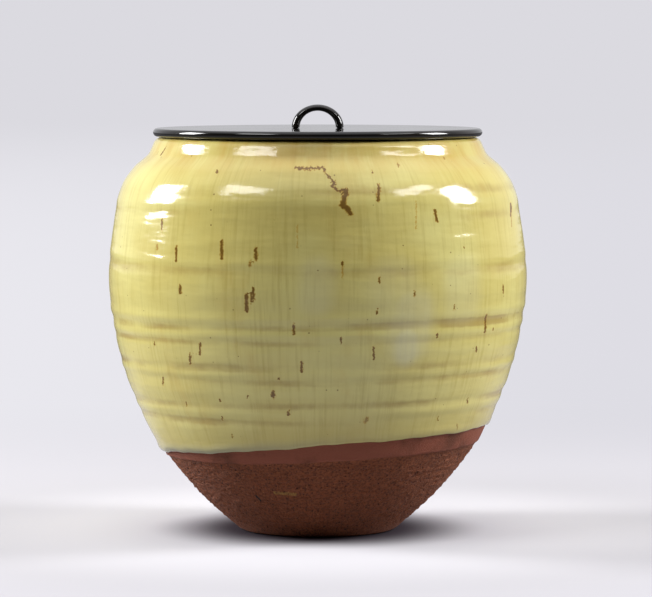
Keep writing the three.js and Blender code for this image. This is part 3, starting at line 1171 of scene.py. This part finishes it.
    def back_streaks(self, make: WallNodes) -> Socket:
        """Scattered upright streaks over the part of the wall that the photograph hides.

        Args:
            make: the material's nodes.

        Returns:
            The streaks' mask.
        """
        streaks = make.group(
            self.shared.speckle, Position=make.scaled(make.around, (1, 1, 0.16)), Spacing=0.0062,
            Size=0.12, Share=0.1,
        )
        behind = make.smooth(make.maths("ABSOLUTE", make.parts(make.sheet)[0]), *self.unseen_from)
        return make.maths("MULTIPLY", make.maths("MULTIPLY", streaks.outputs[0], behind), 0.9)


@dataclass(frozen=True)
class ClayFinish:
    """Red-brown stoneware: a smooth purple-brown band over a rough turned cone.

    Its lengths are in metres.
    """

    shared: Shared
    band: Colour = srgb(134, 74, 54)
    rough: Colour = srgb(150, 85, 52)
    dark: Colour = srgb(100, 53, 33)
    grog: Colour = srgb(184, 128, 90)
    pit: Colour = srgb(52, 26, 18)
    fleck: Colour = srgb(20, 18, 20)
    smear: Colour = srgb(168, 128, 66)
    spot_half_width: float = 0.0011
    roughness: float = 0.72
    specular: float = 0.3
    relief: float = 0.0016

    def material(self) -> bpy.types.Material:
        """The clay's material, which reads the piece's band attribute.

        Returns:
            The material.
        """
        make = WallNodes("clay")
        band = make.attribute("band")
        rough_only = make.maths("SUBTRACT", 1.0, band)
        patch = make.noise(make.place, 60, 5, 0.6)
        grain = make.noise(make.scaled(make.around, (1, 1, 1.6)), 760, 5, 0.75)
        colour = make.mix(make.smooth(grain, 0.36, 0.62), self.dark, self.rough)
        colour = make.tint(colour, self.dark, make.smooth(patch, 0.45, 0.75), 0.25)
        pale = make.group(self.shared.speckle, Position=make.place, Spacing=0.0018, Size=0.17, Share=0.4)
        colour = make.tint(colour, self.grog, pale.outputs[0], 0.6)
        pits = make.group(self.shared.speckle, Position=make.place, Spacing=0.0013, Size=0.34, Share=0.4)
        colour = make.tint(colour, self.pit, pits.outputs[0], 0.75)
        smooth_band = make.mix(make.smooth(patch, 0.45, 0.75), self.band, self.dark)
        colour = make.mix(band, colour, smooth_band)
        smear = self.spot(make, (-0.029, 0.0218, 0), (-0.0145, 0.0214, 0), 0.8)
        worn_smear = make.maths("MULTIPLY", smear, make.smooth(grain, 0.3, 0.6))
        colour = make.mix(worn_smear, colour, self.smear)
        fleck = self.spot(make, (-0.0436, 0.0196, 0), (-0.0426, 0.0178, 0), 1.0)
        colour = make.mix(fleck, colour, self.fleck)
        make.put(make.shader.inputs["Base Color"], colour)
        make.shader.inputs["Roughness"].default_value = self.roughness
        make.shader.inputs["Specular IOR Level"].default_value = self.specular
        coarse = make.noise(make.scaled(make.place, (1, 1, 1.8)), 420, 5, 0.75)
        fine = make.maths("MULTIPLY", grain, 0.3)
        height = make.maths("ADD", make.maths("MULTIPLY", coarse, rough_only), fine)
        height = make.maths("SUBTRACT", height, make.maths("MULTIPLY", pits.outputs[0], rough_only))
        make.put(make.shader.inputs["Normal"], make.bump(height, self.relief))
        return make.material

    def spot(self, make: WallNodes, start: Place, end: Place, strength: float) -> Socket:
        """Mask of a small mark on the cone.

        Args:
            make: the material's nodes.
            start, end: its ends on the sheet, in metres.
            strength: its greatest value.

        Returns:
            The mask.
        """
        node = make.group(self.shared.mark, Sheet=make.sheet, Start=start, End=end)
        node.inputs["Half Width"].default_value = self.spot_half_width
        node.inputs["Strength"].default_value = strength
        return node.outputs[0]


@dataclass(frozen=True)
class LacquerFinish:
    """Black lacquer: a deep gloss over wood, with the faintest unevenness, in metres."""

    name: str
    black: Colour = (0.0035, 0.003, 0.0028, 1.0)
    worn: Colour = (0.009, 0.0065, 0.005, 1.0)
    roughness: float = 0.05
    dulled: float = 0.06
    ior: float = 1.5
    ripple_depth: float = 0.00006

    def material(self) -> bpy.types.Material:
        """The lacquer's material.

        Returns:
            The material.
        """
        make = WallNodes(self.name)
        cloud = make.noise(make.place, 45, 3, 0.5)
        colour = make.mix(make.smooth(cloud, 0.4, 0.7), self.black, self.worn)
        make.put(make.shader.inputs["Base Color"], colour)
        rough = make.maths("ADD", make.maths("MULTIPLY", cloud, self.dulled), self.roughness)
        make.put(make.shader.inputs["Roughness"], rough)
        make.shader.inputs["IOR"].default_value = self.ior
        ripple = make.noise(make.place, 70, 2, 0.4)
        make.put(make.shader.inputs["Normal"], make.bump(ripple, self.ripple_depth))
        return make.material


def dress(piece: bpy.types.Object, material: bpy.types.Material, body: str, node: str) -> None:
    """Gives a piece its material, slot and body, and hides the solid of the node that it stands for.

    Args:
        piece: the object.
        material: its finish.
        body: the body that it moves with.
        node: the solid that it replaces.
    """
    piece.data.materials.append(material)
    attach(piece, body)
    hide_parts(node)
    LOG.info("%s: %d faces", piece.name, len(piece.data.polygons))


@dataclass(frozen=True)
class OuterGlaze:
    """The outer coat, from its rolled edge on the wandering line over the rim, in mm.

    The rows close to the edge have heights of their own above the line.
    """

    form: JarForm
    marks: MarkField
    edge_rows: tuple[float, ...] = (
        0.0, 0.08, 0.2, 0.4, 0.65, 0.95, 1.3, 1.8, 2.4, 3.1, 4.0, 5.0, 6.2, 7.4,
    )
    edge_reach: float = 8.0
    edge_start: float = 0.05
    lip_reach: float = 0.95
    roll: float = 0.5
    roll_height: float = 2.2
    roll_half_width: float = 1.7
    ring_share: float = 0.6
    relief_fade: float = 6.0
    far_from_edge: float = 50.0
    columns: int = 480
    rows: int = 132
    rim_steps: int = 16
    back_rim_steps: int = 12
    back_rows: int = 40

    def near_edge(self, above: np.ndarray, bearing: np.ndarray) -> np.ndarray:
        """Thickness without the relief, counted from the clay.

        It is a quarter circle over the lip's reach, plus a bell curve for the roll, which
        is heavier on some bearings than on others.

        Args:
            above: heights above the line in mm.
            bearing: bearings in radians, of the same shape.

        Returns:
            The thickness in mm.
        """
        lip = np.sqrt(np.clip(1 - (1 - np.clip(above / self.lip_reach, 0, 1)) ** 2, 0, 1))
        start = self.form.coat_gap + self.edge_start
        coat = self.form.coat_gap + self.form.coat
        heavy = self.roll * (0.8 + 0.5 * np.cos(bearing + 1.1) + 0.25 * np.sin(9 * bearing + 0.5))
        rolled = heavy * np.exp(-(((above - self.roll_height) / self.roll_half_width) ** 2))
        return start + (coat - start + np.clip(rolled, 0, 1)) * lip

    def build(self) -> bpy.types.Object:
        """The coat's mesh: its face, whose relief fades out at both ends, the rim and its back.

        Returns:
            The piece, with the attributes that its finish reads.
        """
        form = self.form
        bearing = bearings(self.columns)
        line = form.glaze_line(bearing)
        far = np.linspace(0, 1, self.rows)[:, None]
        top = form.rim_level()
        high = line + self.edge_reach + (top - line - self.edge_reach) * far
        z = np.concatenate([line + np.array(self.edge_rows)[:, None], high])
        above = z - line
        wide = np.broadcast_to(bearing, z.shape)
        relief = ring_relief(wide, z)
        swell = 0.10 * np.sin(2 * wide + z / 19) + 0.07 * np.sin(3 * wide - z / 11)
        fade = np.clip(above / self.relief_fade, 0, 1) * np.clip((top - z) / self.relief_fade, 0, 1)
        thickness = self.near_edge(above, wide) + (self.ring_share * relief + swell) * fade
        face_r, face_z = form.off(z, thickness)
        rim_r, rim_z = form.rim(form.coat_gap + form.coat, self.rim_steps)
        back_r, back_z = form.rim(form.coat_gap, self.back_rim_steps)
        back_level = line + (top - line) * np.linspace(1, 0, self.back_rows)[:, None]
        wall_r, wall_z = form.off(back_level, form.coat_gap)
        over_r = spread(np.concatenate([rim_r, back_r[::-1]]), self.columns)
        over_z = spread(np.concatenate([rim_z, back_z[::-1]]), self.columns)
        radius = np.concatenate([face_r, over_r, wall_r])
        height = np.concatenate([face_z, over_z, wall_z])
        piece = turned("glaze_coat", radius, height, poles=False)
        rest = np.zeros((len(radius) - len(z), self.columns))
        paint(piece, "ring", np.concatenate([relief, rest]))
        paint(piece, "edge", np.concatenate([above, rest + self.far_from_edge]))
        across = ((wide + math.pi) % (2 * math.pi) - math.pi) * SHEET_RADIUS / MM
        offsets, sizes = self.marks.nearest(across, z)
        paint_vectors(piece, "mark", offsets)
        paint_vectors(piece, "stroke", sizes)
        paint(piece, "milk", np.concatenate([self.marks.milk(across, z), rest]))
        return piece


@dataclass(frozen=True)
class ClayBody:
    """The fired pot: foot, rough cone, ledge, band, wall, rim and floor, in mm."""

    form: JarForm
    recess_radii: tuple[float, float] = (6.0, 18.0)
    arc_turn: float = math.pi / 4
    grain: float = 0.15
    grain_seed: int = 11
    turned_away: float = 0.1
    ledge_round: float = 0.5
    ledge_rows: tuple[float, ...] = (0.15, 0.5, 0.85, 1.0)
    band_tuck: float = 0.12
    wall_start: float = 0.01
    columns: int = 400
    foot_rows: int = 8
    cone_rows: int = 88
    band_rows: int = 12
    wall_rows: int = 34
    rim_steps: int = 10
    inner_rows: int = 40

    def arc_top(self) -> float:
        """Height at which the foot's arc meets the cone."""
        return self.form.foot_rounding * (1 - math.cos(self.arc_turn))

    def foot(self) -> tuple[np.ndarray, np.ndarray]:
        """The recess, the flat of the foot ring and the arc up to the cone.

        Returns:
            Radii and heights in mm.
        """
        form = self.form
        cone_start = float(form.radius(np.array([self.arc_top()]))[0])
        arc_centre = cone_start - form.foot_rounding * math.sin(self.arc_turn)
        angle = np.linspace(0, self.arc_turn, self.foot_rows)
        recess_r = [*self.recess_radii, form.foot_ring_inner - form.foot_slope, form.foot_ring_inner]
        recess_z = [form.foot_recess] * 3 + [0.0]
        radius = np.concatenate([recess_r, arc_centre + form.foot_rounding * np.sin(angle)])
        height = np.concatenate([recess_z, form.foot_rounding * (1 - np.cos(angle))])
        return radius, height

    def cone(self, bearing: np.ndarray, ledge: np.ndarray) -> tuple[np.ndarray, np.ndarray]:
        """The rough cone with its tool marks and grain.

        The tool marks are narrow waves round the cone. The grain is a random step in or out
        at each point, shared with its neighbours. Both fade towards the foot and the ledge.

        Args:
            bearing: bearings of the columns in radians.
            ledge: heights of the ledge there, in mm.

        Returns:
            Radii and heights in mm.
        """
        part = np.linspace(0, 1, self.cone_rows)[1:, None]
        z = self.arc_top() + (ledge - self.ledge_round - self.arc_top()) * part
        wide = np.broadcast_to(bearing, z.shape)
        grain = np.random.default_rng(self.grain_seed).normal(0, self.grain, z.shape)
        grain = (grain + np.roll(grain, 1, 1) + np.roll(grain, 1, 0) + np.roll(grain, (1, 1), (0, 1))) / 2
        tool = 0.05 * np.sin(z * 2.1 + 0.8 * np.sin(2 * wide)) + 0.04 * np.sin(z * 4.7 + wide)
        fade = np.clip(part * 8, 0, 1) * np.clip((1 - part) * 12, 0, 1)
        return self.form.off(z, (grain + tool - self.turned_away) * fade)

    def build(self) -> bpy.types.Object:
        """The pot's mesh: foot, cone, ledge, smooth band, wall, rim, inside and floor.

        Returns:
            The piece, with its band attribute.
        """
        form = self.form
        bearing = bearings(self.columns)
        line = form.glaze_line(bearing)
        ledge = form.ledge(bearing)
        start_r, start_z = (spread(profile, self.columns) for profile in self.foot())
        cone_r, cone_z = self.cone(bearing, ledge)
        step = np.array(self.ledge_rows)[:, None]
        step_level = ledge - self.ledge_round + self.ledge_round * step
        step_r, step_z = form.off(step_level, form.ledge_step * step)
        rise = np.linspace(0, 1, self.band_rows)[1:, None]
        band_level = ledge + (line - ledge) * rise
        band_r, band_z = form.off(band_level, form.ledge_step * (1 - rise) + self.band_tuck * rise)
        up_wall = np.linspace(self.wall_start, 1, self.wall_rows)[:, None]
        wall_r, wall_z = form.off(line + (form.rim_level() - line) * up_wall, 0.0)
        rim_r, rim_z = form.rim(0.0, self.rim_steps)
        in_r, in_z = form.inside(0.0, self.inner_rows)
        end_r = spread(np.concatenate([rim_r, in_r[1:]]), self.columns)
        end_z = spread(np.concatenate([rim_z, in_z[1:]]), self.columns)
        radius = np.concatenate([start_r, cone_r, step_r, band_r, wall_r, end_r])
        height = np.concatenate([start_z, cone_z, step_z, band_z, wall_z, end_z])
        piece = turned("clay_pot", radius, height, poles=True)
        band = np.ones_like(radius)
        band[:len(start_r) + len(cone_r) + 1] = 0
        paint(piece, "band", band)
        return piece


@dataclass(frozen=True)
class InnerGlaze:
    """The inner coat, from just below the rim's end over the floor."""

    form: JarForm
    columns: int = 320
    rows: int = 60

    def build(self) -> bpy.types.Object:
        """The coat's mesh: its back against the clay, then its face towards the hollow.

        Returns:
            The piece.
        """
        form = self.form
        back_r, back_z = form.inside(form.coat_gap, self.rows)
        face_r, face_z = form.inside(form.coat_gap + form.coat, self.rows)
        radius = spread(np.concatenate([back_r[1:][::-1], face_r[1:]]), self.columns)
        height = spread(np.concatenate([back_z[1:][::-1], face_z[1:]]), self.columns)
        return turned("inner_coat", radius, height, poles=True)


@dataclass(frozen=True)
class LidBoard:
    """The turned board: rounded edge, flat top and the step ring underneath, in mm."""

    form: JarForm
    radius: float = 72.7
    thickness: float = 3.6
    seat_gap: float = 0.3
    step_depth: float = 2.8
    step_width: float = 5.5
    step_clearance: float = 0.8
    chamfer: float = 0.5
    soft_edge: float = 0.06
    under_centre: float = 6.0
    top_centre: float = 5.0
    top_inset: float = 0.5
    columns: int = 320
    rim_steps: int = 180
    edge_rows: int = 26
    under_rows: int = 8
    top_rows: int = 12

    def rim(self) -> tuple[np.ndarray, np.ndarray]:
        """Radii and heights of the glazed rim."""
        return self.form.rim(self.form.coat_gap + self.form.coat, self.rim_steps)

    def mouth(self) -> float:
        """Radius of the glazed mouth."""
        return float(self.rim()[0].min())

    def underside(self) -> float:
        """Height of the board's underside."""
        return float(self.rim()[1].max()) + self.seat_gap

    def build(self) -> bpy.types.Object:
        """The board's mesh: underside, step ring, half-round edge, top.

        Returns:
            The piece.
        """
        outer = self.mouth() - self.step_clearance
        inner = outer - self.step_width
        half = self.thickness / 2
        angle = np.linspace(-math.pi / 2, math.pi / 2, self.edge_rows)
        soft = self.soft_edge
        under = np.linspace(self.under_centre, inner - soft, self.under_rows)
        low, bevel = -self.step_depth, self.chamfer - self.step_depth
        step_r = [inner, inner, inner + self.chamfer, outer - self.chamfer, outer, outer, outer + soft]
        step_z = [-soft, bevel, low, low, bevel, -soft, 0.0]
        edge_r = self.radius - half + half * np.cos(angle)
        edge_z = half + half * np.sin(angle)
        top = np.linspace(self.radius - half - self.top_inset, self.top_centre, self.top_rows)
        radius = np.concatenate([under, step_r, edge_r, top])
        height = np.concatenate([under * 0, step_z, edge_z, top * 0 + self.thickness])
        height = height + self.underside()
        return turned("board", spread(radius, self.columns), spread(height, self.columns), poles=True)


@dataclass(frozen=True)
class LidLoop:
    """The bent bar with its shoulders and tenons, in mm."""

    board: LidBoard
    width: float = 23.0
    height: float = 10.4
    inner_width: float = 15.9
    inner_height: float = 7.6
    depth: float = 6.0
    shoulder_gap: float = 0.3
    shoulder: float = 0.5
    tenon: float = 2.1
    steps: int = 96
    sides: int = 40

    def build(self) -> bpy.types.Object:
        """The bar's mesh: ovals between the outer and inner half ellipses, then tenons.

        At angle a round the arch the outer edge is (W/2 cos a, H sin a) and the inner edge
        the same with the inner sizes; each section is an oval spanning the two.

        Returns:
            The piece.
        """
        angle = np.linspace(math.pi, 0, self.steps + 1)
        rise = np.sin(angle)
        sizes = ((self.width, self.height), (self.inner_width, self.inner_height))
        outer, inner = (
            np.stack([across / 2 * np.cos(angle), (high - self.shoulder_gap) * rise])
            for across, high in sizes
        )
        span = outer - inner
        thick = np.hypot(span[0], span[1])
        outward = span / thick
        middle = (outer + inner) / 2 + np.array([[0.0], [self.shoulder_gap]])
        half = thick / 2
        deep = np.full_like(half, self.depth / 2)
        foot = (self.width + self.inner_width) / 4
        small = (self.width - self.inner_width) / 4 - self.shoulder
        lows = np.array([-self.tenon, self.shoulder_gap])
        ends_z = np.concatenate([lows, lows[::-1]])
        side = np.array([-1, -1, 1, 1])
        middle = np.concatenate([[side[:2] * foot, ends_z[:2]], middle, [side[2:] * foot, ends_z[2:]]], 1)
        outward = np.concatenate([[side[:2], side[:2] * 0], outward, [side[2:], side[2:] * 0]], 1)
        thin = self.depth / 2 - self.shoulder
        half = np.concatenate([[small] * 2, half, [small] * 2])
        deep = np.concatenate([[thin] * 2, deep, [thin] * 2])
        turn = np.arange(self.sides) * 2 * math.pi / self.sides
        x = middle[0][:, None] + outward[0][:, None] * half[:, None] * np.cos(turn)
        z = middle[1][:, None] + outward[1][:, None] * half[:, None] * np.cos(turn)
        y = -deep[:, None] * np.sin(turn)
        top = self.board.underside() + self.board.thickness
        points = np.stack([x, y, z + top], -1).reshape(-1, 3)
        rings = len(half)
        i, j = np.meshgrid(np.arange(rings - 1), np.arange(self.sides), indexing="ij")
        after = (j + 1) % self.sides
        quads = np.stack([i * self.sides + j, i * self.sides + after,
                          (i + 1) * self.sides + after, (i + 1) * self.sides + j], -1)
        faces = quads.reshape(-1, 4).tolist()
        faces.append(list(range(self.sides))[::-1])
        faces.append(list(range((rings - 1) * self.sides, rings * self.sides)))
        return add_piece("loop", points, faces)


@dataclass(frozen=True)
class Softbox:
    """A rectangular studio light aimed at the jar, in degrees, metres and watts."""

    name: str
    bearing: float
    elevation: float
    width: float
    height: float
    power: float
    distance: float = 1.25
    aim: float = 0.13

    def build(self) -> bpy.types.Object:
        """Makes the light at its bearing and elevation, facing the jar at the aim's height.

        Returns:
            The light.
        """
        data = bpy.data.lights.new(self.name, "AREA")
        data.shape = "RECTANGLE"
        data.size = self.width
        data.size_y = self.height
        data.energy = self.power
        light = bpy.data.objects.new(self.name, data)
        bearing, elevation = math.radians(self.bearing), math.radians(self.elevation)
        level = math.cos(elevation)
        way = Vector((math.sin(bearing) * level, -math.cos(bearing) * level, math.sin(elevation)))
        light.location = Vector((0, 0, self.aim)) + way * self.distance
        light.rotation_euler = way.to_track_quat("Z", "Y").to_euler()
        bpy.context.scene.collection.objects.link(light)
        return light


@dataclass(frozen=True)
class Studio:
    """The pale floor, the world and the lights, in metres."""

    # Glow colours of the floor further out: painted light on the left and near the camera, painted shade on
    # the right and far off.
    left: Colour = srgb(233, 232, 238)
    right: Colour = srgb(222, 221, 228)
    far_shade: Colour = srgb(219, 218, 224)
    close: Colour = srgb(240, 239, 248)
    # Floor colour made lighter near the jar, where the jar's shade falls: painted light.
    lifted_near_floor: Colour = (0.55, 0.54, 0.57, 1.0)
    open_floor: Colour = (0.42, 0.41, 0.43, 1.0)
    # Nearly black floor colour under the foot: a painted contact shadow.
    under: Colour = (0.06, 0.05, 0.06, 1.0)
    dim: Colour = (0.36, 0.35, 0.36, 1.0)
    near: float = 0.10
    far: float = 0.62
    reach: float = 14.0
    drop: float = 0.0002
    camera_distance: float = 1.7
    bounce: float = 0.2
    front: float = 0.04
    behind: float = 0.62
    overhead: float = 1.3
    cool: float = 1.04
    lights: tuple[Softbox, ...] = (
        Softbox("left_box", bearing=-102, elevation=21.5, width=0.38, height=0.54, power=20),
        Softbox("left_front_box", bearing=-50, elevation=43, width=0.50, height=0.30, power=4.5),
        Softbox("right_box", bearing=93, elevation=25, width=0.36, height=0.48, power=17),
        Softbox("right_front_box", bearing=66, elevation=41, width=0.50, height=0.12, power=2.0),
    )

    def floor_material(self) -> bpy.types.Material:
        """Matt floor near the jar, with painted light round the jar and a painted contact shadow under the
        foot, running into a glow further out that has painted light and shade.

        Returns:
            The material.
        """
        material = bpy.data.materials.new("floor")
        material.use_nodes = True
        tree = material.node_tree
        tree.nodes.clear()
        make = NodeBuilder(tree)
        position = make.position()
        place = make.vector("LENGTH", position).outputs["Value"]
        x, y, _ = make.parts(position)
        aside = make.maths("DIVIDE", x, make.maths("ADD", y, self.camera_distance))
        # Painted light and shade on the glow: lighter on the left, darker to the right and far off, lightest
        # towards the camera.
        shade = make.mix(make.smooth(aside, -0.09, 0.09), self.left, self.right)
        shade = make.mix(make.smooth(y, 1.0, 9.0), shade, self.far_shade)
        shade = make.mix(make.smooth(y, 0.1, -0.25), shade, self.close)
        seen = make.node("LightPath").outputs["Is Camera Ray"]
        matt = make.node("BsdfDiffuse")
        # Painted light: the floor is lighter within about 0.08 to 0.2 m of the axis, where the jar's shade
        # falls, and plainer further out.
        ground = make.mix(make.smooth(place, 0.08, 0.2), self.lifted_near_floor, self.open_floor)
        # Painted contact shadow: the floor goes nearly black within about 36 mm of the axis and fades out by
        # 78 mm.
        ground = make.mix(make.smooth(place, 0.036, 0.078), self.under, ground)
        make.put(matt.inputs["Color"], make.mix(seen, self.dim, ground))
        glow = make.node("Emission")
        make.put(glow.inputs["Color"], shade)
        make.put(glow.inputs["Strength"], make.maths("MAXIMUM", seen, self.bounce))
        blend = make.node("MixShader")
        make.put(blend.inputs[0], make.smooth(place, self.near, self.far))
        make.put(blend.inputs[1], matt.outputs[0])
        make.put(blend.inputs[2], glow.outputs[0])
        make.put(make.node("OutputMaterial").inputs["Surface"], blend.outputs[0])
        return material

    def build_world(self) -> None:
        """Surroundings pale behind the jar, dim in front and overhead; even to the camera."""
        world = bpy.data.worlds.new("studio")
        bpy.context.scene.world = world
        world.use_nodes = True
        tree = world.node_tree
        tree.nodes.clear()
        make = NodeBuilder(tree)
        _, away, up = make.parts(make.node("TexCoord").outputs["Generated"])
        dark = (self.front, self.front, self.front, 1.0)
        pale = (self.behind, self.behind, self.behind * self.cool, 1.0)
        top = (self.overhead, self.overhead, self.overhead * self.cool, 1.0)
        level = make.mix(make.smooth(away, -0.25, 0.75), dark, pale)
        sky = make.mix(make.smooth(up, 0.5, 0.95), level, top)
        seen = make.node("LightPath").outputs["Is Camera Ray"]
        colour = make.mix(seen, sky, self.far_shade)
        background = make.node("Background")
        make.put(background.inputs["Color"], colour)
        make.put(make.node("OutputWorld").inputs["Surface"], background.outputs[0])

    def build(self) -> None:
        """Makes the floor, world and lights."""
        reach = self.reach
        corners = [(-reach, -reach, 0), (reach, -reach, 0), (reach, reach, 0), (-reach, reach, 0)]
        mesh = bpy.data.meshes.new("floor")
        mesh.from_pydata(corners, [], [[0, 1, 2, 3]])
        floor = bpy.data.objects.new("floor", mesh)
        floor.location.z = -self.drop
        mesh.materials.append(self.floor_material())
        bpy.context.scene.collection.objects.link(floor)
        self.build_world()
        for light in self.lights:
            light.build()


def main() -> None:
    """Builds and dresses every piece, then the studio and the camera."""
    logging.basicConfig(level=logging.INFO, format="%(name)s %(message)s")
    bpy.context.scene.view_settings.view_transform = "Standard"
    form = JarForm()
    framing = Framing()
    shared = Shared()
    glaze = GlazeFinish("outer_glaze", shared, marked=True).material()
    lining = GlazeFinish("inner_glaze", shared, marked=False).material()
    marks = MarkField(form, framing)
    board = LidBoard(form)
    dress(ClayBody(form).build(), ClayFinish(shared).material(), "jar", "clay_body")
    dress(OuterGlaze(form, marks).build(), glaze, "jar", "outer_glaze")
    dress(InnerGlaze(form).build(), lining, "jar", "inner_glaze")
    dress(board.build(), LacquerFinish("lid_lacquer").material(), "lid", "lid_board")
    loop_finish = LacquerFinish("loop_lacquer").material()
    dress(LidLoop(board).build(), loop_finish, "lid", "lid_loop")
    Studio().build()
    framing.build()
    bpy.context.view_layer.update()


if __name__ == "__main__":
    main()
